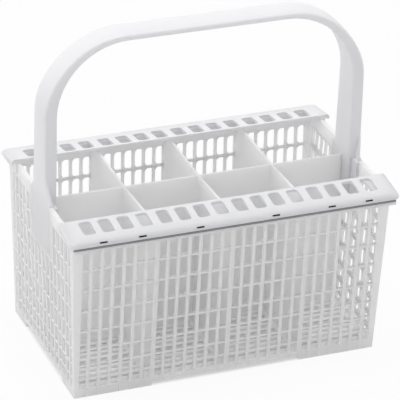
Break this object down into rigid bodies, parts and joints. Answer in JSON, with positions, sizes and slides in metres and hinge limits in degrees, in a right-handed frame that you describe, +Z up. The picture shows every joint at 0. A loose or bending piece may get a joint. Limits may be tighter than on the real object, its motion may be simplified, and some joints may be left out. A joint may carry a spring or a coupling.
{
  "type": "dishwasher cutlery basket",
  "caption": "Open lattice dishwasher cutlery basket with divided compartments, slotted strips along its long rims and a tall arched carry handle.",
  "frame": {"origin": "on the floor under the middle of the basket, at the level of its feet", "axes": "+X along the length, +Y across the depth towards the rear, +Z up"},
  "size_m": [0.249, 0.1546, 0.252],
  "materials": {
    "body_plastic": "satin moulded polypropylene, natural white",
    "fitting_plastic": "satin moulded polypropylene, cool white"
  },
  "bodies": {
    "root": {"basket_body": "body_plastic", "carry_handle": "fitting_plastic", "front_slot_strip": "fitting_plastic", "rear_slot_strip": "fitting_plastic"}
  },
  "joints": []
}
